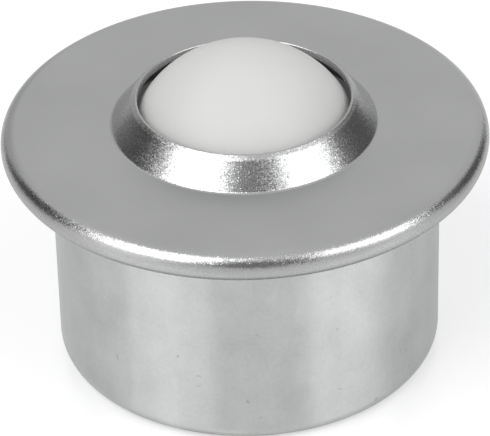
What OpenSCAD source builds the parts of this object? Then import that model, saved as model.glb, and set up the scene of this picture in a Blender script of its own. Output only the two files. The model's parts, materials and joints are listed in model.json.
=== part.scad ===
// Ball transfer unit: a load ball that rolls in any direction on a bed of small balls.
// Its housing drops through a round hole, and its rim then rests on the plate round that hole.
// Millimetres, +Z up. The origin is at the centre of the housing's bottom face.

/* [Load ball] */
// Diameter of the load ball
ball_d = 22.225; // [21:0.025:23]
// How far the top of the load ball stands above the cover's plate
ball_rise = 7; // [6.5:0.1:7.5]

/* [Support balls] */
// Diameter of each support ball
support_ball_d = 4; // [3.6:0.1:4.2]
// Gap between the support balls and what they roll on, above and below
running_gap = 0.05; // [0.02:0.01:0.1]
// Smallest gap between two neighbouring support balls
neighbour_gap = 0.05; // [0.02:0.01:0.1]
// How far up the bowl the support balls may reach, as an angle from straight down
bed_angle = 78; // [72:1:89]

/* [Raceway] */
// Thickness of the raceway's wall round the bowl
raceway_wall = 1.7875; // [1.2:0.0125:2.5]
// Thickness of the raceway under the bowl
raceway_floor = 3.275; // [2.5:0.025:5]
// Gap between the raceway and the housing's wall
raceway_gap = 0.1; // [0.05:0.01:0.2]
// Diameter of the flat foot that the raceway stands on
raceway_foot_d = 14; // [10:0.5:18]
// Chamfer inside the raceway's mouth
mouth_chamfer = 0.5; // [0.2:0.1:0.8]

/* [Housing] */
// Thickness of the housing's sheet
housing_sheet = 0.9; // [0.6:0.05:1]
// Outside radius of the bend between the housing's wall and its floor
floor_bend_r = 1.5; // [1.2:0.1:2.5]
// Radius under the housing's flange, where the wall turns outwards
flange_bend_r = 0.6; // [0.3:0.1:0.8]

/* [Cover] */
// How far the cover's rolled rim stands out past the housing's wall
rim_reach = 4.5; // [4.2:0.1:6]
// Thickness of the cover's sheet
cover_sheet = 0.9; // [0.7:0.05:1]
// Width of the hem that is folded under the housing's flange, from the rim's outside
hem_w = 3; // [2.5:0.1:3.5]
// Gap between the folded sheets
crimp_gap = 0.05; // [0.02:0.01:0.1]
// Radius on the cut edges of the cover's sheet
edge_r = 0.15; // [0.05:0.01:0.18]

/* [Collar] */
// Height of the collar above the plate, before its top edge is rounded
collar_h = 2.85; // [2.6:0.05:3]
// Thickness of the collar's wall, which thins as it is drawn up from the plate
collar_wall = 0.65; // [0.55:0.01:0.75]
// Gap between the load ball and the lower edge of the collar's bore
lip_gap = 0.45; // [0.3:0.05:0.6]
// Width of the lip on its underside, from the bore to the bend into the flank
lip_w = 0.2; // [0.2:0.05:0.4]
// Slope of the lip
lip_slope = 38; // [34:1:42]
// Slope of the collar's flank
flank_slope = 52; // [49:1:55]
// Outside radius of the bend between the flank and the lip
knee_r = 1.2; // [1:0.1:1.4]
// Radius of the hollow where the flank rises from the plate
foot_r = 0.4; // [0.2:0.1:0.6]

/* [Hidden] */
$fn = 128;

// Radii, worked out from the load ball outwards: the sphere that the support balls' centres lie
// on, the track below them, the raceway, the housing's wall and the rim
ball_r = ball_d / 2;
bed_r = ball_r + running_gap + support_ball_d / 2;
track_r = bed_r + support_ball_d / 2 + running_gap;
raceway_r = track_r + raceway_wall;
inside_r = raceway_r + raceway_gap;
wall_r = inside_r + housing_sheet;
rim_edge_r = wall_r + rim_reach;

// The rim is three sheets thick: the cover, the housing's flange and the cover's hem below it.
rim_h = 2 * cover_sheet + housing_sheet + 2 * crimp_gap;
rim_r = rim_h / 2;
rim_centre_r = rim_edge_r - rim_r;

// Heights above the housing's bottom face. The unit rests on its hem, at seat_z.
ball_z = housing_sheet + raceway_floor + track_r;
plate_z = ball_z + ball_r - ball_rise;
under_z = plate_z - cover_sheet;
flange_top_z = under_z - crimp_gap;
flange_z = flange_top_z - housing_sheet;
hem_top_z = flange_z - crimp_gap;
seat_z = hem_top_z - cover_sheet;

// Ring 0 is the one support ball at the bottom of the bowl, and six fit round it in ring 1.
ring_pitch = asin((support_ball_d + neighbour_gap) / bed_r);
last_ring = floor(bed_angle / ring_pitch);
function ring_r(ring) = bed_r * sin(ring * ring_pitch);

// The most balls that fit in a ring. The slack keeps rounding from taking one off a full ring.
count_slack = 0.001;
function ring_count(ring) = ring == 0 ? 1
    : floor(180 / asin((support_ball_d + neighbour_gap) / 2 / ring_r(ring)) + count_slack);

// Each ring has a letter, and each ball in it a number, such as support_ball_b3.
function support_name(ring, i) = str("support_ball_", chr(ord("a") + ring), i + 1);

// A direction in the profile plane, by its angle from the radius
function heading(angle) = [cos(angle), sin(angle)];

// The web between a sharp corner and the arc that rounds it. The corner's sides leave it at the
// angles low and high. An outside corner has its web cut off, and an inside corner has it added.
module web(corner, low, high, r) {
    half = (high - low) / 2;
    centre = corner + heading(low + half) * r / sin(half);
    low_end = corner + heading(low) * r / tan(half);
    high_end = corner + heading(high) * r / tan(half);
    // The web reaches a little past the two sides, and the arc a hair past them, so that they meet
    // cleanly and no sliver stays between them.
    past = 1.1;
    hair = 0.0003;
    difference() {
        polygon([
            centre,
            centre + (high_end - centre) * past,
            centre + (corner - centre) * past,
            centre + (low_end - centre) * past
        ]);
        translate(centre) circle(r + hair);
    }
}

// The housing is one sheet drawn into a cup, with its flange turned out at the top.
module housing_profile() {
    difference() {
        union() {
            polygon([
                [0, 0], [wall_r, 0], [wall_r, flange_z], [rim_centre_r, flange_z],
                [rim_centre_r, flange_top_z], [inside_r, flange_top_z],
                [inside_r, housing_sheet], [0, housing_sheet]
            ]);
            web([wall_r, flange_z], -90, 0, flange_bend_r);
            web([inside_r, housing_sheet], 90, 180, floor_bend_r - housing_sheet);
        }
        web([wall_r, 0], 90, 180, floor_bend_r);
        web([inside_r, flange_top_z], -90, 0, flange_bend_r + housing_sheet);
    }
}

module housing() {
    color("silver") rotate_extrude() housing_profile();
}

// The collar's section starts at its bore, which is cut upright through the lip. The bore's lower
// edge keeps lip_gap from the load ball. From there the lip slopes down and outwards to the knee,
// and the flank goes on from the knee to the plate.
lip_out = heading(-lip_slope);
lip_up = heading(90 - lip_slope);
flank_out = heading(-flank_slope);
flank_up = heading(90 - flank_slope);
lip_edge_z = plate_z + collar_h - collar_wall / lip_up[1];
lip_edge = [sqrt(pow(ball_r + lip_gap, 2) - pow(lip_edge_z - ball_z, 2)), lip_edge_z];
lip_top = [lip_edge[0], plate_z + collar_h];
knee_inside = lip_edge + lip_out * lip_w;
knee = knee_inside + (lip_up + flank_up) * collar_wall / (1 + lip_up * flank_up);
foot = knee + flank_out * (knee[1] - plate_z) / sin(flank_slope);
foot_inside = knee_inside + flank_out * (knee_inside[1] - under_z) / sin(flank_slope);

// The cover is one sheet: a flat plate, drawn up into the collar in the middle, and rolled under
// the housing's flange at its rim.
module cover_profile() {
    hem_r = rim_edge_r - hem_w;
    difference() {
        union() {
            polygon([
                lip_edge, knee_inside, foot_inside, [rim_centre_r, under_z],
                [rim_centre_r, plate_z], foot, knee, lip_top
            ]);
            web(foot, 0, 180 - flank_slope, foot_r);
            web(knee_inside, -180 - lip_slope, -flank_slope, knee_r - collar_wall);
            rolled_rim();
            translate([hem_r, seat_z]) square([rim_centre_r - hem_r, cover_sheet]);
        }
        web(knee, -180 - lip_slope, -flank_slope, knee_r);
        web(foot_inside, 0, 180 - flank_slope, foot_r + collar_wall);
        web(lip_top, -90, -lip_slope, edge_r);
        web(lip_edge, -lip_slope, 90, edge_r);
        web([hem_r, seat_z], 0, 90, edge_r);
        web([hem_r, hem_top_z], -90, 0, edge_r);
    }
}

// The half round that joins the plate to the hem
module rolled_rim() {
    translate([rim_centre_r, seat_z + rim_r])
        intersection() {
            difference() {
                circle(rim_r);
                circle(rim_r - cover_sheet);
            }
            translate([0, -rim_h]) square([rim_h, 2 * rim_h]);
        }
}

module cover() {
    color("gainsboro") rotate_extrude() cover_profile();
}

// The raceway is a turned and hardened bowl. It stands on the housing's floor, the housing's wall
// centres it, and the cover holds it down.
module raceway_profile() {
    mouth_h = flange_top_z - ball_z;
    foot_h = ball_z - housing_sheet;
    difference() {
        union() {
            intersection() {
                translate([0, ball_z]) circle(raceway_r);
                translate([0, housing_sheet]) square([raceway_r, foot_h]);
            }
            translate([0, ball_z]) square([raceway_r, mouth_h]);
            translate([0, housing_sheet]) square([raceway_foot_d / 2, foot_h]);
        }
        translate([0, ball_z]) circle(track_r);
        translate([0, ball_z]) square([track_r, 2 * mouth_h]);
        translate([track_r, flange_top_z]) rotate(45) square(mouth_chamfer * sqrt(2), center = true);
    }
}

module raceway() {
    color("dimgray") rotate_extrude() raceway_profile();
}

// One ball of the bed between the load ball and the raceway
module support_ball(ring, i) {
    turn = 360 * (i + ring / 2) / ring_count(ring);
    tilt = ring * ring_pitch;
    color("lightsteelblue")
        translate([ring_r(ring) * cos(turn), ring_r(ring) * sin(turn), ball_z - bed_r * cos(tilt)])
            sphere(d = support_ball_d);
}

module load_ball() {
    color("white") translate([0, 0, ball_z]) sphere(d = ball_d);
}

housing();
cover();
raceway();
for (ring = [0 : last_ring], i = [0 : ring_count(ring) - 1])
    support_ball(ring, i);
load_ball();
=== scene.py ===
# %% [markdown]
# # A ball transfer unit
# This unit drops through a round hole in a table. A load slides over its white ball, which rolls
# in any direction on a bed of small steel balls. The housing and the cover are drawn from sheet
# steel and zinc plated, and the cover is folded under the housing's flange to close the unit.
# Every main piece is round about one axis, so one small tree of Geometry Nodes can make them all:
# it rounds the corners of a piece's section and turns the section about the axis.

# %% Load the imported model, which is the fixed frame for everything below
import json
import math
import bmesh
import bpy
from mathutils import Matrix, Vector


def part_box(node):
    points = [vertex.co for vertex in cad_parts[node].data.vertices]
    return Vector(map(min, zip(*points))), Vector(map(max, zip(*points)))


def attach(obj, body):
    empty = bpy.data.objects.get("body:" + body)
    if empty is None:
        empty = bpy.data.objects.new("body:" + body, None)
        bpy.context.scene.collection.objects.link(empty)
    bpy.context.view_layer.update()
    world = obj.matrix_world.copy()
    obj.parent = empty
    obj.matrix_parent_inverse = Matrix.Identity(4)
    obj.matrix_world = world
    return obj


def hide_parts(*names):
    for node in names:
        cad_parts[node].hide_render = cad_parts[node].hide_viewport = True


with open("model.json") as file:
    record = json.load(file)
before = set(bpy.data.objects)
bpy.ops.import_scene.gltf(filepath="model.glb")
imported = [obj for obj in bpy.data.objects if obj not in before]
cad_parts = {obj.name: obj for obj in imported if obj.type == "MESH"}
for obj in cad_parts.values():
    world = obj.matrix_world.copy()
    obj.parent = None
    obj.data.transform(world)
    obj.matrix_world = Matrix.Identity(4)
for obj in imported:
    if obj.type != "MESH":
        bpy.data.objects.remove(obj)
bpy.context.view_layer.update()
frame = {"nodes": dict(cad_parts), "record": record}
mm = 0.001

# %% [markdown]
# ## Sizes
# The frame already holds most sizes. A node's box gives how far it reaches, and the mounts in the
# record give the radius of the housing's wall and the height that the unit rests at. Only the
# bends and the slopes of the pressed sheet are written here, because no box can tell them.

# %% Sizes that the frame gives
mounts = {mount["name"]: mount for mount in frame["record"]["mounts"]}
ball_low, ball_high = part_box("load_ball")
ball_r = (ball_high.z - ball_low.z) / 2
ball_z = (ball_high.z + ball_low.z) / 2
wall_r = mounts["hole_fit"]["dims"]["r_mm"] * mm
seat_z = mounts["rim_seat"]["pos_m"][2]
rim_edge_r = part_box("cover")[1].x
rounded_top_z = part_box("cover")[1].z
flange_top_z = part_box("housing")[1].z
raceway_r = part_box("raceway")[1].x
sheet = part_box("raceway")[0].z
print(f"sheet {sheet / mm:.2f} mm, rim {2 * rim_edge_r / mm:.1f} mm, ball {2 * ball_r / mm:.2f} mm")

# %% Heights and radii that follow from them
crimp_gap = 0.05 * mm
inside_r = wall_r - sheet
under_z = flange_top_z + crimp_gap
plate_z = under_z + sheet
flange_z = flange_top_z - sheet
hem_top_z = seat_z + sheet
rim_r = (plate_z - seat_z) / 2
rim_centre_r = rim_edge_r - rim_r
print(f"plate at {plate_z / mm:.2f} mm, rim {2 * rim_r / mm:.2f} mm thick")

# %% [markdown]
# ## Sections
# A section is the line round the cut face of a piece, from its axis outwards. A presswork
# draughtsman gives its corners and the radius of each bend, and so does this script: the nodes
# round the corners afterwards. Next to each bend a pair of extra points holds the flat side flat,
# because smooth shading would otherwise bend the light on the wide flat faces too.

# %% Draw a section as a line of corners
# How far from a bend its side is held flat, and how near the axis counts as on it
hold = 0.03 * mm
on_axis = 0.001 * mm


def draw_section(name, corners, holding=True):
    """A line in the XZ plane through corners, each (radius, height, bend radius).

    A section that starts and ends on the axis stays open there, because turning it closes it.
    """
    spots = [Vector((r, 0, z)) for r, z, _ in corners]
    closed = max(spots[0].x, spots[-1].x) > on_axis
    count = len(spots)
    reach = [0.0] * count
    for i in range(count):
        turn = (spots[i] - spots[i - 1]).angle(spots[(i + 1) % count] - spots[i])
        reach[i] = corners[i][2] * math.tan(turn / 2)
    points = []
    for i in range(count):
        points.append((spots[i], corners[i][2]))
        if i == count - 1 and not closed:
            continue
        side = spots[(i + 1) % count] - spots[i]
        if holding and side.length > reach[i] + reach[(i + 1) % count] + 2 * hold:
            step = side.normalized()
            points.append((spots[i] + step * (reach[i] + hold), 0.0))
            points.append((spots[(i + 1) % count] - step * (reach[(i + 1) % count] + hold), 0.0))
    mesh = bpy.data.meshes.new(name)
    sides = [(i, (i + 1) % len(points)) for i in range(len(points) - (not closed))]
    mesh.from_pydata([p for p, _ in points], sides, [])
    bend = mesh.attributes.new("bend_r", "FLOAT", "POINT")
    bend.data.foreach_set("value", [r for _, r in points])
    section = bpy.data.objects.new(name, mesh)
    bpy.context.scene.collection.objects.link(section)
    print(f"{name}: a section of {count} corners, {len(points)} points with the held ones")
    return section


# %% Points along an arc of a section, for the balls and the bowl
def arc(radius, start, end, steps):
    """Corners on an arc about the load ball's centre. Angles are in degrees from the radius."""
    turns = [math.radians(start + (end - start) * i / steps) for i in range(steps + 1)]
    return [(radius * math.cos(t), ball_z + radius * math.sin(t), 0) for t in turns]


# %% [markdown]
# ## The tree that turns a section
# Fillet Curve rounds each corner by the radius stored on it, as a press tool's nose does. Curve to
# Mesh then carries the section round a circle, here as wide as the housing's wall, though any
# circle would do once the section is moved in by its radius. Where the section meets the axis the
# points fall together, and Merge by Distance closes them. An edge stays sharp where its two faces
# meet at more than the sharp angle.

# %% Small helpers for node trees
def add_node(tree, kind, **settings):
    node = tree.nodes.new(kind)
    for name, value in settings.items():
        setattr(node, name, value)
    return node


def add_sockets(tree, sockets):
    """Sockets are (direction, type, name) or (direction, type, name, default)."""
    for direction, kind, name, *default in sockets:
        socket = tree.interface.new_socket(name, in_out=direction, socket_type="NodeSocket" + kind)
        if default:
            socket.default_value = default[0]


# %% Build the turning tree
path_r = wall_r
merge_distance = 0.0001 * mm


def build_turning_tree():
    tree = bpy.data.node_groups.new("turn_a_section", "GeometryNodeTree")
    add_sockets(tree, [
        ("INPUT", "Geometry", "Section"),
        ("INPUT", "Int", "Steps Around", 256),
        ("INPUT", "Int", "Steps in a Bend", 12),
        ("INPUT", "Float", "Sharp Angle", math.radians(35)),
        ("INPUT", "Material", "Finish"),
        ("OUTPUT", "Geometry", "Piece"),
    ])
    link = tree.links.new
    given = add_node(tree, "NodeGroupInput")
    line = add_node(tree, "GeometryNodeMeshToCurve")
    bend = add_node(tree, "GeometryNodeInputNamedAttribute", data_type="FLOAT")
    bend.inputs["Name"].default_value = "bend_r"
    fillet = add_node(tree, "GeometryNodeFilletCurve", mode="POLY")
    fillet.inputs["Limit Radius"].default_value = True
    lay = add_node(tree, "GeometryNodeTransform")
    lay.inputs["Rotation"].default_value = (math.pi / 2, 0, 0)
    lay.inputs["Translation"].default_value = (-path_r, 0, 0)
    path = add_node(tree, "GeometryNodeCurvePrimitiveCircle")
    path.inputs["Radius"].default_value = path_r
    upright = add_node(tree, "GeometryNodeSetCurveNormal", mode="Z_UP")
    sweep = add_node(tree, "GeometryNodeCurveToMesh")
    merge = add_node(tree, "GeometryNodeMergeByDistance")
    merge.inputs["Distance"].default_value = merge_distance
    smooth = add_node(tree, "GeometryNodeSetShadeSmooth")
    angle = add_node(tree, "GeometryNodeInputMeshEdgeAngle")
    steep = add_node(tree, "FunctionNodeCompare", data_type="FLOAT", operation="GREATER_THAN")
    sharp = add_node(tree, "GeometryNodeSetShadeSmooth", domain="EDGE")
    sharp.inputs["Shade Smooth"].default_value = False
    realize = add_node(tree, "GeometryNodeRealizeInstances")
    finish = add_node(tree, "GeometryNodeSetMaterial")
    result = add_node(tree, "NodeGroupOutput")
    link(given.outputs["Section"], line.inputs["Mesh"])
    link(line.outputs["Curve"], fillet.inputs["Curve"])
    link(bend.outputs["Attribute"], fillet.inputs["Radius"])
    link(given.outputs["Steps in a Bend"], fillet.inputs["Count"])
    link(fillet.outputs["Curve"], lay.inputs["Geometry"])
    link(given.outputs["Steps Around"], path.inputs["Resolution"])
    link(path.outputs["Curve"], upright.inputs["Curve"])
    link(upright.outputs["Curve"], sweep.inputs["Curve"])
    link(lay.outputs["Geometry"], sweep.inputs["Profile Curve"])
    link(sweep.outputs["Mesh"], merge.inputs["Geometry"])
    link(merge.outputs["Geometry"], smooth.inputs["Geometry"])
    link(angle.outputs["Unsigned Angle"], steep.inputs["A"])
    link(given.outputs["Sharp Angle"], steep.inputs["B"])
    link(steep.outputs["Result"], sharp.inputs["Selection"])
    link(smooth.outputs["Geometry"], sharp.inputs["Geometry"])
    link(sharp.outputs["Geometry"], realize.inputs["Geometry"])
    link(realize.outputs["Geometry"], finish.inputs["Geometry"])
    link(given.outputs["Finish"], finish.inputs["Material"])
    link(finish.outputs["Geometry"], result.inputs["Piece"])
    return tree


turning_tree = build_turning_tree()
print(turning_tree.name, "has", len(turning_tree.nodes), "nodes")


# %% Run a tree on an object, and keep the result as a plain mesh
def make_plain(obj, tree, **values):
    """Gives the object a tree with these inputs, and bakes what it makes into its mesh."""
    nodes = obj.modifiers.new(tree.name, "NODES")
    nodes.node_group = tree
    for item in tree.interface.items_tree:
        name = item.name.lower().replace(" ", "_")
        if item.item_type == "SOCKET" and item.in_out == "INPUT" and name in values:
            nodes[item.identifier] = values[name]
    made = bpy.data.meshes.new_from_object(obj.evaluated_get(bpy.context.evaluated_depsgraph_get()))
    obj.modifiers.clear()
    obj.data = made
    made.name = obj.name
    shell = bmesh.new()
    shell.from_mesh(made)
    bmesh.ops.recalc_face_normals(shell, faces=shell.faces)
    open_edges = sum(1 for edge in shell.edges if not edge.is_manifold)
    shell.to_mesh(made)
    shell.free()
    size = [round(length / mm, 3) for length in obj.dimensions]
    print(f"{obj.name}: {len(made.polygons)} faces, {size} mm, {open_edges} open edges")
    return obj


# %% [markdown]
# ## Finishes
# Bright zinc plate copies the skin of the sheet below it. Drawing stretches that skin, so the
# grains of the steel stand up as a fine orange peel, which shows where a reflection changes from
# light to dark. Wide, faint clouds in the plating make one place a little duller than the next.
# Every piece needs some grain, so it is one node group, placed with a size for each finish.

# %% The grain of drawn and plated steel, as a node group
peel_share = 0.22


def build_grain_group():
    tree = bpy.data.node_groups.new("plated_grain", "ShaderNodeTree")
    add_sockets(tree, [
        ("INPUT", "Float", "Grains per Metre", 4000.0),
        ("INPUT", "Float", "Clouds per Metre", 150.0),
        ("OUTPUT", "Float", "Grain"),
        ("OUTPUT", "Float", "Peel"),
        ("OUTPUT", "Float", "Cloud"),
    ])
    link = tree.links.new
    given = add_node(tree, "NodeGroupInput")
    place = add_node(tree, "ShaderNodeTexCoord")
    result = add_node(tree, "NodeGroupOutput")
    fine = add_node(tree, "ShaderNodeTexNoise")
    fine.inputs["Detail"].default_value = 2
    coarser = add_node(tree, "ShaderNodeMath", operation="MULTIPLY")
    coarser.inputs[1].default_value = peel_share
    peel = add_node(tree, "ShaderNodeTexNoise")
    peel.inputs["Detail"].default_value = 1
    cloud = add_node(tree, "ShaderNodeTexNoise")
    cloud.inputs["Detail"].default_value = 4
    for texture in (fine, peel, cloud):
        link(place.outputs["Object"], texture.inputs["Vector"])
    link(given.outputs["Grains per Metre"], fine.inputs["Scale"])
    link(given.outputs["Grains per Metre"], coarser.inputs[0])
    link(coarser.outputs["Value"], peel.inputs["Scale"])
    link(given.outputs["Clouds per Metre"], cloud.inputs["Scale"])
    link(fine.outputs["Fac"], result.inputs["Grain"])
    link(peel.outputs["Fac"], result.inputs["Peel"])
    link(cloud.outputs["Fac"], result.inputs["Cloud"])
    return tree


grain_group = build_grain_group()
print(grain_group.name, "has", len(grain_group.nodes), "nodes")

# %% [markdown]
# Deep drawing also pulls the sheet through the die in one direction, which leaves soft upright
# bands on the wall. Noise that is squeezed along the axis gives them: its pattern changes round
# the wall and hardly at all from top to bottom.

# %% The bands of deep drawing, as a node group
def build_band_group():
    tree = bpy.data.node_groups.new("drawing_bands", "ShaderNodeTree")
    add_sockets(tree, [
        ("INPUT", "Float", "Bands per Metre", 160.0),
        ("INPUT", "Float", "Squeeze", 0.04),
        ("OUTPUT", "Float", "Band"),
    ])
    link = tree.links.new
    given = add_node(tree, "NodeGroupInput")
    place = add_node(tree, "ShaderNodeTexCoord")
    axes = add_node(tree, "ShaderNodeSeparateXYZ")
    squeeze = add_node(tree, "ShaderNodeMath", operation="MULTIPLY")
    joined = add_node(tree, "ShaderNodeCombineXYZ")
    band = add_node(tree, "ShaderNodeTexNoise")
    band.inputs["Detail"].default_value = 3
    result = add_node(tree, "NodeGroupOutput")
    link(place.outputs["Object"], axes.inputs["Vector"])
    link(axes.outputs["X"], joined.inputs["X"])
    link(axes.outputs["Y"], joined.inputs["Y"])
    link(axes.outputs["Z"], squeeze.inputs[0])
    link(given.outputs["Squeeze"], squeeze.inputs[1])
    link(squeeze.outputs["Value"], joined.inputs["Z"])
    link(joined.outputs["Vector"], band.inputs["Vector"])
    link(given.outputs["Bands per Metre"], band.inputs["Scale"])
    link(band.outputs["Fac"], result.inputs["Band"])
    return tree


band_group = build_band_group()
print(band_group.name, "has", len(band_group.nodes), "nodes")

# %% [markdown]
# Where sheet is bent or drawn up hard, its grains also tip a little, each its own way, and the
# plating on them glitters like sand. Each cell of a Voronoi texture is one grain here, and its
# random colour gives the way that it tips. The few whose colour lies far from grey are strays and
# tip more. The colour's red makes one grain duller than the next, and Coarseness hands that on.
# On a level face both effects fade, because the sheet isn't stretched there. The height of the
# piece's own normal tells level sheet from bent sheet, so they stay in place when it is turned.

# %% Helpers that carry values from node to node
# The height of a normal on level sheet, and where the sheet counts as bent
level_z = 0.999
bent_z = 0.9


def feed(tree, socket, value):
    """Links a socket to another node's output, or sets it to a plain value."""
    if isinstance(value, bpy.types.NodeSocket):
        tree.links.new(value, socket)
    else:
        socket.default_value = value


def maths(tree, operation, *values):
    """The result of a Math node. Each value is a number or another node's output."""
    node = add_node(tree, "ShaderNodeMath", operation=operation)
    for socket, value in zip(node.inputs, values):
        feed(tree, socket, value)
    return node.outputs["Value"]


def ramp(tree, value, start, end, low=0, high=1, **settings):
    """Carries a value from the range start to end over to the range low to high."""
    node = add_node(tree, "ShaderNodeMapRange", **settings)
    feed(tree, node.inputs["Value"], value)
    feed(tree, node.inputs["From Min"], start)
    feed(tree, node.inputs["From Max"], end)
    feed(tree, node.inputs["To Min"], low)
    feed(tree, node.inputs["To Max"], high)
    return node.outputs["Result"]


# %% The tipped grains, as a node group
def build_sand_group():
    tree = bpy.data.node_groups.new("tipped_grains", "ShaderNodeTree")
    add_sockets(tree, [
        ("INPUT", "Float", "Grains per Metre", 11000.0),
        ("INPUT", "Float", "Tip", 0.1),
        ("INPUT", "Float", "Tip on the Flat", 0.02),
        ("OUTPUT", "Vector", "Normal"),
        ("OUTPUT", "Float", "Coarseness"),
    ])
    link = tree.links.new
    given = add_node(tree, "NodeGroupInput")
    place = add_node(tree, "ShaderNodeTexCoord")
    surface = add_node(tree, "ShaderNodeNewGeometry")
    upward = add_node(tree, "ShaderNodeSeparateXYZ")
    cells = add_node(tree, "ShaderNodeTexVoronoi")
    parts = add_node(tree, "ShaderNodeSeparateColor")
    centred = add_node(tree, "ShaderNodeVectorMath", operation="SUBTRACT")
    centred.inputs[1].default_value = (0.5, 0.5, 0.5)
    reach = add_node(tree, "ShaderNodeVectorMath", operation="LENGTH")
    tipped = add_node(tree, "ShaderNodeVectorMath", operation="SCALE")
    added = add_node(tree, "ShaderNodeVectorMath", operation="ADD")
    unit = add_node(tree, "ShaderNodeVectorMath", operation="NORMALIZE")
    result = add_node(tree, "NodeGroupOutput")
    link(place.outputs["Normal"], upward.inputs["Vector"])
    link(place.outputs["Object"], cells.inputs["Vector"])
    link(given.outputs["Grains per Metre"], cells.inputs["Scale"])
    link(cells.outputs["Color"], centred.inputs[0])
    link(cells.outputs["Color"], parts.inputs["Color"])
    link(centred.outputs["Vector"], reach.inputs[0])
    link(centred.outputs["Vector"], tipped.inputs[0])
    tip = ramp(
        tree, upward.outputs["Z"], bent_z, level_z,
        given.outputs["Tip"], given.outputs["Tip on the Flat"],
    )
    stray = ramp(tree, reach.outputs["Value"], 0.55, 0.8, 0.75, 1.9)
    link(maths(tree, "MULTIPLY", tip, stray), tipped.inputs["Scale"])
    link(tipped.outputs["Vector"], added.inputs[0])
    link(surface.outputs["Normal"], added.inputs[1])
    link(added.outputs["Vector"], unit.inputs[0])
    link(unit.outputs["Vector"], result.inputs["Normal"])
    bent = ramp(tree, upward.outputs["Z"], level_z, bent_z)
    link(maths(tree, "MULTIPLY", parts.outputs["Red"], bent), result.inputs["Coarseness"])
    return tree


sand_group = build_sand_group()
print(sand_group.name, "has", len(sand_group.nodes), "nodes")


# %% Helpers that every finish uses
def new_finish(name, colour, metallic, roughness):
    """A material with its Principled BSDF, whose plain numbers are set on the shader itself."""
    finish = bpy.data.materials.new(name)
    finish.use_nodes = True
    shader = finish.node_tree.nodes["Principled BSDF"]
    shader.inputs["Base Color"].default_value = (*colour, 1)
    shader.inputs["Metallic"].default_value = metallic
    shader.inputs["Roughness"].default_value = roughness
    print("finish:", name)
    return finish, finish.node_tree, shader


def spread(tree, value, low, high):
    """Carries a noise value, which stays near one half, over to the range low to high."""
    return ramp(tree, value, 0.3, 0.7, low, high)


def blend(tree, factor, low, high):
    """A colour from low to high. Each is a triple or another node's output."""
    node = add_node(tree, "ShaderNodeMix", data_type="RGBA")
    # A Mix node has sockets for each kind of data. Inputs 6 and 7 and output 2 are the colours.
    feed(tree, node.inputs["Factor"], factor)
    for number, colour in ((6, low), (7, high)):
        feed(tree, node.inputs[number], (*colour, 1) if isinstance(colour, tuple) else colour)
    return node.outputs[2]


def tint(tree, value, dark, light):
    """A colour between dark and light, by a noise value."""
    return blend(tree, spread(tree, value, 0, 1), dark, light)


def raise_surface(tree, shader, heights, normal=None):
    """Bumps on the shader's normal. Heights are (noise value, height in metres)."""
    for value, height in heights:
        bump = add_node(tree, "ShaderNodeBump")
        bump.inputs["Distance"].default_value = height
        tree.links.new(value, bump.inputs["Height"])
        if normal:
            tree.links.new(normal, bump.inputs["Normal"])
        normal = bump.outputs["Normal"]
    tree.links.new(normal, shader.inputs["Normal"])


def place_group(tree, group, **values):
    """Places a group, with a value for each input that is named with underscores."""
    node = add_node(tree, "ShaderNodeGroup", node_tree=group)
    for name, value in values.items():
        node.inputs[name.replace("_", " ")].default_value = value
    return node


# %% [markdown]
# ### The cover
# The sheet is stretched most where it goes up into the collar and round the rim, so these are
# bright and sandy. The flat plate keeps the mill's own even surface and is duller. The underside
# of the collar, which hangs over the ball, is duller still. Faces that look down, as under the
# rolled rim, are darkened in colour: painted shade in place of the shadow that falls there. The
# height of the piece's own normal steers all of these: it is 1 on the plate, 0 on an upright face
# and below 0 on a face that looks down. The same could be painted by hand, but a rule follows the
# shape when a size changes.

# %% Finish of the cover
flat_dulling = 0.2
grain_dulling = 0.14
inside_dulling = 0.4
looks_down = -0.05
# Where the painted shade on faces that look down starts and where it is full, by the height of the normal
painted_shade_starts = -0.35
painted_shade_full = -0.75


def cover_finish():
    finish, tree, shader = new_finish("bright_zinc", (0.6, 0.6, 0.6), 1, 0.22)
    grain = place_group(tree, grain_group, Grains_per_Metre=4500, Clouds_per_Metre=120)
    sand = place_group(tree, sand_group, Grains_per_Metre=13500, Tip=0.14)
    place = add_node(tree, "ShaderNodeTexCoord")
    level = add_node(tree, "ShaderNodeVectorMath", operation="MULTIPLY")
    level.inputs[1].default_value = (1, 1, 0)
    radius = add_node(tree, "ShaderNodeVectorMath", operation="LENGTH")
    facing = add_node(tree, "ShaderNodeSeparateXYZ")
    tree.links.new(place.outputs["Object"], level.inputs[0])
    tree.links.new(level.outputs["Vector"], radius.inputs[0])
    tree.links.new(place.outputs["Normal"], facing.inputs["Vector"])
    upward = facing.outputs["Z"]
    near = maths(tree, "LESS_THAN", radius.outputs["Value"], wall_r)
    inside = maths(tree, "MULTIPLY", near, maths(tree, "LESS_THAN", upward, looks_down))
    flat = ramp(tree, upward, bent_z, level_z, 0, flat_dulling)
    rough = maths(tree, "ADD", flat, spread(tree, grain.outputs["Cloud"], 0.15, 0.19))
    rough = maths(tree, "MULTIPLY_ADD", sand.outputs["Coarseness"], grain_dulling, rough)
    rough = maths(tree, "MULTIPLY_ADD", inside, inside_dulling, rough)
    tree.links.new(rough, shader.inputs["Roughness"])
    clean = tint(tree, grain.outputs["Cloud"], (0.57, 0.575, 0.573), (0.61, 0.615, 0.613))
    # Painted shade: faces that look down, as under the rolled rim, are blended towards dark grey in place
    # of the shadow there
    painted_shade = ramp(tree, upward, painted_shade_starts, painted_shade_full)
    tree.links.new(blend(tree, painted_shade, clean, (0.15, 0.15, 0.15)), shader.inputs["Base Color"])
    raise_surface(tree, shader, [
        (grain.outputs["Peel"], 0.001 * mm),
        (grain.outputs["Grain"], 0.0006 * mm),
    ], sand.outputs["Normal"])
    return finish


# %% [markdown]
# ### The housing
# The housing is drawn deep, so its wall is duller than the rim. Its mottle is the sum of three
# patterns: upright bands from the die, cloudy patches in the plating and a fine frost. A few faint
# specks are pits that the plating didn't fill. One noise gives them, because only its rare peaks
# are let through.

# %% Finish of the housing
frost_share = 0.5
specks_per_metre = 1700


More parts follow.
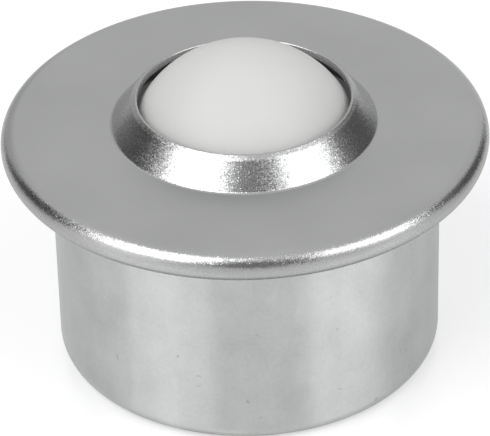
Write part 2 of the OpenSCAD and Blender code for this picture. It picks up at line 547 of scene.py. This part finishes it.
def housing_finish():
    finish, tree, shader = new_finish("satin_zinc", (0.66, 0.675, 0.67), 1, 0.2)
    grain = place_group(tree, grain_group, Grains_per_Metre=3000, Clouds_per_Metre=260)
    bands = place_group(tree, band_group)
    place = add_node(tree, "ShaderNodeTexCoord")
    specks = add_node(tree, "ShaderNodeTexNoise")
    specks.inputs["Scale"].default_value = specks_per_metre
    specks.inputs["Detail"].default_value = 0
    tree.links.new(place.outputs["Object"], specks.inputs["Vector"])
    # The mean of the clouds, the bands and the frost, which counts only in part
    mottle = maths(tree, "ADD", grain.outputs["Cloud"], bands.outputs["Band"])
    frosted = maths(tree, "MULTIPLY_ADD", grain.outputs["Grain"], frost_share, mottle)
    mean = maths(tree, "MULTIPLY", frosted, 1 / (2 + frost_share))
    plated = tint(tree, mean, (0.56, 0.575, 0.572), (0.8, 0.815, 0.812))
    peaks = ramp(tree, specks.outputs["Fac"], 0.8, 0.9)
    tree.links.new(blend(tree, peaks, plated, (0.53, 0.54, 0.535)), shader.inputs["Base Color"])
    rough = spread(tree, grain.outputs["Cloud"], 0.17, 0.27)
    tree.links.new(rough, shader.inputs["Roughness"])
    raise_surface(tree, shader, [
        (grain.outputs["Peel"], 0.006 * mm),
        (grain.outputs["Grain"], 0.0025 * mm),
    ])
    return finish


# %% [markdown]
# ### The steel inside
# The bowl is hardened and ground, so it is darker and has rings of fine turning marks. The
# support balls are polished like any bearing ball.
#
# Looking down past the load ball, one sees the bowl's track deep inside. On a real unit that gap
# is dark grey and not black, most likely because some light gets through the white ball. The
# shading of the ball's plastic doesn't carry light that far, so the bowl glows faintly instead.
# Real steel doesn't glow: this is a stand-in, and the first thing to set to zero when the unit is
# lit in another way.

# %% Finish of the raceway
gap_glow = 0.05


def raceway_finish():
    finish, tree, shader = new_finish("ground_bowl", (0.42, 0.42, 0.43), 1, 0.3)
    grain = place_group(tree, grain_group, Grains_per_Metre=5000, Clouds_per_Metre=300)
    place = add_node(tree, "ShaderNodeTexCoord")
    rings = add_node(tree, "ShaderNodeTexWave", wave_type="RINGS", rings_direction="Z")
    rings.inputs["Scale"].default_value = 900
    rings.inputs["Distortion"].default_value = 0.4
    tree.links.new(place.outputs["Object"], rings.inputs["Vector"])
    colour = tint(tree, grain.outputs["Cloud"], (0.38, 0.38, 0.39), (0.46, 0.46, 0.47))
    tree.links.new(colour, shader.inputs["Base Color"])
    rough = spread(tree, grain.outputs["Cloud"], 0.24, 0.38)
    tree.links.new(rough, shader.inputs["Roughness"])
    shader.inputs["Emission Color"].default_value = (1, 1, 1, 1)
    shader.inputs["Emission Strength"].default_value = gap_glow
    raise_surface(tree, shader, [
        (rings.outputs["Fac"], 0.002 * mm),
        (grain.outputs["Grain"], 0.001 * mm),
    ])
    return finish


# %% Finish of the support balls
def support_ball_finish():
    finish, tree, shader = new_finish("polished_ball_steel", (0.66, 0.67, 0.68), 1, 0.08)
    grain = place_group(tree, grain_group, Grains_per_Metre=6000, Clouds_per_Metre=500)
    colour = tint(tree, grain.outputs["Cloud"], (0.63, 0.64, 0.65), (0.69, 0.7, 0.71))
    tree.links.new(colour, shader.inputs["Base Color"])
    rough = spread(tree, grain.outputs["Cloud"], 0.05, 0.12)
    tree.links.new(rough, shader.inputs["Roughness"])
    raise_surface(tree, shader, [(grain.outputs["Grain"], 0.0002 * mm)])
    return finish


# %% [markdown]
# ### The load ball
# The load ball is ground from a moulded blank of hard white plastic. Grinding leaves it satin, and
# light goes into the plastic and comes out again some millimetres away, which softens its shading.
# Subsurface scattering gives that. How far the light really spreads in this plastic isn't known,
# so the distance is a guess that looks right.

# %% Finish of the load ball
def load_ball_finish():
    finish, tree, shader = new_finish("white_ball_plastic", (0.725, 0.725, 0.718), 0, 0.5)
    shader.inputs["Subsurface Weight"].default_value = 0.5
    shader.inputs["Subsurface Radius"].default_value = (1, 0.97, 0.94)
    shader.inputs["Subsurface Scale"].default_value = 5 * mm
    shader.inputs["IOR"].default_value = 1.48
    grain = place_group(tree, grain_group, Grains_per_Metre=5000, Clouds_per_Metre=180)
    colour = tint(tree, grain.outputs["Cloud"], (0.715, 0.715, 0.707), (0.735, 0.735, 0.728))
    tree.links.new(colour, shader.inputs["Base Color"])
    rough = spread(tree, grain.outputs["Cloud"], 0.46, 0.56)
    tree.links.new(rough, shader.inputs["Roughness"])
    raise_surface(tree, shader, [(grain.outputs["Grain"], 0.0006 * mm)])
    return finish


# %% [markdown]
# ## The housing
# The housing is one drawn cup with its flange turned out at the top. Its section starts at the
# axis, under the floor, and ends at the axis above it.

# %% Make the housing
floor_bend_r = 1.5 * mm
flange_bend_r = 0.6 * mm
housing = draw_section("housing_cup", [
    (0, 0, 0),
    (wall_r, 0, floor_bend_r),
    (wall_r, flange_z, flange_bend_r),
    (rim_centre_r, flange_z, 0),
    (rim_centre_r, flange_top_z, 0),
    (inside_r, flange_top_z, flange_bend_r + sheet),
    (inside_r, sheet, floor_bend_r - sheet),
    (0, sheet, 0),
])
make_plain(housing, turning_tree, steps_around=256, steps_in_a_bend=12, finish=housing_finish())

# %% [markdown]
# ## The cover
# The cover is one sheet too. In the middle it is drawn up into a collar, whose lip leans over the
# load ball and keeps it in. At the rim it is rolled round the housing's flange and ends in a flat
# hem under it. The collar is worked out from the ball outwards: its bore, which is cut upright
# through the lip, keeps a small gap from the ball, and the lip and the flank each leave at their
# own slope.

# %% Work out the collar
collar_wall = 0.65 * mm
lip_gap = 0.45 * mm
lip_w = 0.2 * mm
lip_slope = 38
flank_slope = 52
knee_r = 1.2 * mm
foot_r = 0.4 * mm
edge_r = 0.15 * mm
hem_w = 3 * mm


def heading(degrees):
    return Vector((math.cos(math.radians(degrees)), math.sin(math.radians(degrees))))


lip_up = heading(90 - lip_slope)
flank_out = heading(-flank_slope)
flank_up = heading(90 - flank_slope)
# Rounding the bore's top corner takes its tip off, so the sharp corner stands above the box.
collar_top_z = rounded_top_z + edge_r * (1 / math.tan(math.radians(90 - lip_slope) / 2) - 1)
lip_edge_z = collar_top_z - collar_wall / lip_up.y
lip_edge = Vector((math.sqrt((ball_r + lip_gap) ** 2 - (lip_edge_z - ball_z) ** 2), lip_edge_z))
lip_top = Vector((lip_edge.x, collar_top_z))
knee_inside = lip_edge + heading(-lip_slope) * lip_w
knee = knee_inside + (lip_up + flank_up) * collar_wall / (1 + lip_up.dot(flank_up))
foot = knee + flank_out * (knee.y - plate_z) / -flank_out.y
foot_inside = knee_inside + flank_out * (knee_inside.y - under_z) / -flank_out.y
print(f"collar from {lip_edge.x / mm:.2f} to {foot.x / mm:.2f} mm in radius")

# %% Make the cover
cover = draw_section("cover_pressing", [
    (*lip_edge, edge_r),
    (*knee_inside, knee_r - collar_wall),
    (*foot_inside, foot_r + collar_wall),
    (rim_edge_r - sheet, under_z, rim_r - sheet),
    (rim_edge_r - sheet, hem_top_z, rim_r - sheet),
    (rim_edge_r - hem_w, hem_top_z, edge_r),
    (rim_edge_r - hem_w, seat_z, edge_r),
    (rim_edge_r, seat_z, rim_r),
    (rim_edge_r, plate_z, rim_r),
    (*foot, foot_r),
    (*knee, knee_r),
    (*lip_top, edge_r),
])
make_plain(cover, turning_tree, steps_around=320, steps_in_a_bend=12, finish=cover_finish())

# %% [markdown]
# ## The raceway and the load ball
# Both are made from arcs about the load ball's centre, so no bend is needed and the corners of the
# section are simply points on those arcs.

# %% Make the raceway
support_low, support_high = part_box("support_ball_a1")
support_r = (support_high.z - support_low.z) / 2
running_gap = 0.05 * mm
track_r = ball_z - support_low.z + running_gap
foot_edge_r = 7 * mm
mouth_chamfer = 0.5 * mm
foot_turn = -math.degrees(math.acos(foot_edge_r / raceway_r))
raceway = draw_section("raceway_bowl", [
    (0, sheet, 0),
    (foot_edge_r, sheet, 0),
    *arc(raceway_r, foot_turn, 0, steps=24),
    (raceway_r, flange_top_z, 0),
    (track_r + mouth_chamfer, flange_top_z, 0),
    (track_r, flange_top_z - mouth_chamfer, 0),
    *arc(track_r, 0, -90, steps=40),
], holding=False)
make_plain(raceway, turning_tree, steps_around=128, steps_in_a_bend=1, finish=raceway_finish())

# %% Make the load ball
load_ball = draw_section("load_ball_ground", arc(ball_r, -90, 90, steps=96), holding=False)
make_plain(load_ball, turning_tree, steps_around=192, steps_in_a_bend=1, finish=load_ball_finish())

# %% [markdown]
# ## The bed of support balls
# The balls all have one shape and only their places differ, so each is an instance. The places
# are the middles of the frame's own support balls. A ball is an icosphere, whose faces are all
# about the same size, so it stays round with few of them.

# %% Build the tree that puts a ball on each place
def build_bed_tree():
    tree = bpy.data.node_groups.new("balls_on_places", "GeometryNodeTree")
    add_sockets(tree, [
        ("INPUT", "Geometry", "Places"),
        ("INPUT", "Float", "Ball Radius", 2 * mm),
        ("INPUT", "Material", "Finish"),
        ("OUTPUT", "Geometry", "Bed"),
    ])
    link = tree.links.new
    given = add_node(tree, "NodeGroupInput")
    ball = add_node(tree, "GeometryNodeMeshIcoSphere")
    ball.inputs["Subdivisions"].default_value = 4
    smooth = add_node(tree, "GeometryNodeSetShadeSmooth")
    put = add_node(tree, "GeometryNodeInstanceOnPoints")
    realize = add_node(tree, "GeometryNodeRealizeInstances")
    finish = add_node(tree, "GeometryNodeSetMaterial")
    result = add_node(tree, "NodeGroupOutput")
    link(given.outputs["Ball Radius"], ball.inputs["Radius"])
    link(ball.outputs["Mesh"], smooth.inputs["Geometry"])
    link(given.outputs["Places"], put.inputs["Points"])
    link(smooth.outputs["Geometry"], put.inputs["Instance"])
    link(put.outputs["Instances"], realize.inputs["Geometry"])
    link(realize.outputs["Geometry"], finish.inputs["Geometry"])
    link(given.outputs["Finish"], finish.inputs["Material"])
    link(finish.outputs["Geometry"], result.inputs["Bed"])
    return tree


# %% Make the bed of balls
support_nodes = sorted(name for name in frame["nodes"] if name.startswith("support_ball_"))
places = bpy.data.meshes.new("bed_of_balls")
places.from_pydata([sum(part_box(name), Vector()) / 2 for name in support_nodes], [], [])
bed = bpy.data.objects.new("bed_of_balls", places)
bpy.context.scene.collection.objects.link(bed)
make_plain(bed, build_bed_tree(), ball_radius=support_r, finish=support_ball_finish())
print(f"{len(support_nodes)} support balls of {2 * support_r / mm:.2f} mm")

# %% [markdown]
# ## What moves with what
# The housing, the cover and the raceway are crimped into one body. The bed turns in it about the
# upright axis, and the load ball rolls on the bed.

# %% Put each piece on its body, in place of its plain solid
for piece, body, slot, stands_for in (
    (housing, "housing", "housing_steel", ["housing"]),
    (cover, "housing", "cover_steel", ["cover"]),
    (raceway, "housing", "raceway_steel", ["raceway"]),
    (bed, "ball_bed", "support_ball_steel", support_nodes),
    (load_ball, "load_ball", "load_ball_plastic", ["load_ball"]),
):
    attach(piece, body)
    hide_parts(*stands_for)
    print(piece.name, "rides on", body)

# %% [markdown]
# ## The table
# The unit stands on a plain pale table top. Its wall mirrors it, and the top's slight gloss hands
# the softboxes on, so the wall is brighter where it faces one of them. Behind the unit the top is
# to look white. A paler top would do that, but it would also brighten the wall. Light Path tells
# the rays apart instead: the top glows a good deal for a ray that goes straight to the eye, and
# only a little for one that a mirror hands on. The unit's soft shadow stays on it.

# %% Make the table top
table_r = 0.45
seen_glow = 0.44
mirrored_glow = 0.08
table_mesh = bpy.data.meshes.new("table_top")
table = bpy.data.objects.new("table_top", table_mesh)
bpy.context.scene.collection.objects.link(table)
disc = bmesh.new()
bmesh.ops.create_circle(disc, cap_ends=True, segments=96, radius=table_r)
disc.to_mesh(table_mesh)
disc.free()
table_finish, tree, shader = new_finish("white_table", (0.72, 0.72, 0.72), 0, 0.08)
shader.inputs["Specular IOR Level"].default_value = 0.75
shader.inputs["Emission Color"].default_value = (1, 1, 1, 1)
rays = add_node(tree, "ShaderNodeLightPath")
seen = maths(tree, "ADD", rays.outputs["Is Camera Ray"], rays.outputs["Is Transmission Ray"])
glow = maths(tree, "MULTIPLY", seen, seen_glow)
glow = maths(tree, "MULTIPLY_ADD", rays.outputs["Is Glossy Ray"], mirrored_glow, glow)
tree.links.new(glow, shader.inputs["Emission Strength"])
table_mesh.materials.append(table_finish)
print(f"table top: {2 * table_r:.2f} m across")

# %% [markdown]
# ## The light
# Bright metal shows its surroundings more than itself, so the studio is most of its look. Two
# softboxes stand at the front, left and right, and draw the bright streaks on the collar and the
# rim. The left one is larger and brighter. The room is an even grey. Dark cards between the
# softboxes and at both sides give the streaks their dark edges, and a pale card low under each
# softbox carries its light on down the wall. A card that only has to be seen in a reflection can
# be part of the world: a patch of directions that is darker or lighter than the rest.

# %% Directions round the unit
def direction(azimuth, elevation):
    """Azimuth 0 is the front, where -Y points, and it grows to the right."""
    a, e = math.radians(azimuth), math.radians(elevation)
    return Vector((math.sin(a) * math.cos(e), -math.cos(a) * math.cos(e), math.sin(e)))


# %% The room, with its cards
room_grey = 0.62
cards = [
    # azimuth, elevation, half angle, softness, grey
    (-55, 16, 14, 14, 0.95),
    (68, 18, 8, 12, 1.0),
    (6, 44, 9, 14, 0.36),
    (4, 25, 13, 15, 0.14),
    (-109, 20, 12, 17, 0.05),
    (-134, 5, 7, 14, 0.1),
    (-150, 16, 10, 16, 0.45),
    (142, 36, 13, 15, 0.58),
    (108, 22, 8, 16, 0.1),
    (124, 8, 9, 16, 0.09),
]
world = bpy.data.worlds.new("studio_room")
bpy.context.scene.world = world
world.use_nodes = True
room = world.node_tree
look = add_node(room, "ShaderNodeTexCoord")
colour = (room_grey, room_grey, room_grey)
for azimuth, elevation, half, soft, grey in cards:
    near = add_node(room, "ShaderNodeVectorMath", operation="DOT_PRODUCT")
    near.inputs[1].default_value = direction(azimuth, elevation)
    room.links.new(look.outputs["Generated"], near.inputs[0])
    outside = math.cos(math.radians(half + soft))
    inside = math.cos(math.radians(half))
    patch = ramp(room, near.outputs["Value"], outside, inside, interpolation_type="SMOOTHSTEP")
    colour = blend(room, patch, colour, (grey, grey, grey))
room.links.new(colour, room.nodes["Background"].inputs["Color"])
print(f"room: grey {room_grey}, with {len(cards)} cards")

# %% Turn a light or the camera
def point_along(obj, place, way, axis, roll):
    """Stands an object at a place with its axis along the way, and rolls it by some degrees."""
    obj.location = place
    turn = way.to_track_quat(axis, "Y").to_matrix().to_4x4()
    rolled = Matrix.Rotation(math.radians(roll), 4, "Z")
    obj.matrix_world = Matrix.Translation(obj.location) @ turn @ rolled


# %% The two softboxes
softbox_distance = 0.6
# name, azimuth, elevation, half width and half height as angles, roll, brightness
for name, azimuth, elevation, half_width, half_height, roll, brightness in (
    ("softbox_left", -50.5, 48, 22, 23, 6, 2.0),
    ("softbox_right", 60.5, 40, 19.5, 17, -19, 1.68),
):
    lamp = bpy.data.lights.new(name, "AREA")
    lamp.shape = "RECTANGLE"
    lamp.size = 2 * softbox_distance * math.tan(math.radians(half_width))
    lamp.size_y = 2 * softbox_distance * math.tan(math.radians(half_height))
    # A flat lamp's watts are pi times its area times its brightness.
    lamp.energy = brightness * math.pi * lamp.size * lamp.size_y
    box = bpy.data.objects.new(name, lamp)
    bpy.context.scene.collection.objects.link(box)
    out = direction(azimuth, elevation)
    point_along(box, out * softbox_distance + Vector((0, 0, plate_z)), out, "Z", roll)
    print(name, f"{lamp.size:.2f} x {lamp.size_y:.2f} m, {lamp.energy:.2f} W")

# %% [markdown]
# ## The camera
# A long lens, from a third of a metre away and well above the rim, shows the plate as an
# ellipse about half as high as it is wide, and keeps the wall almost upright.

# %% Place the camera
camera_distance = 312.1 * mm
camera_elevation = 32.6
camera_roll = -1.42
focal_length = 249.3
aim_point = Vector((-0.18 * mm, 0, 12.59 * mm))
camera_data = bpy.data.cameras.new("camera")
camera_data.sensor_width = 36
camera_data.lens = focal_length
camera_data.clip_start = 0.01
camera = bpy.data.objects.new("camera", camera_data)
bpy.context.scene.collection.objects.link(camera)
stand = direction(0, camera_elevation) * camera_distance + Vector((0, 0, plate_z))
point_along(camera, stand, aim_point - stand, "-Z", camera_roll)
bpy.context.scene.camera = camera
bpy.context.scene.view_settings.view_transform = "Standard"
print(f"camera: {focal_length} mm lens, {camera_distance / mm:.1f} mm away, {camera_elevation} degrees up")

# %% [markdown]
# ## The last step
# The dressed model has to fill the same box as the imported solids. Here the scene is only brought
# up to date.

# %% Bring the scene up to date, and finish
bpy.context.view_layer.update()
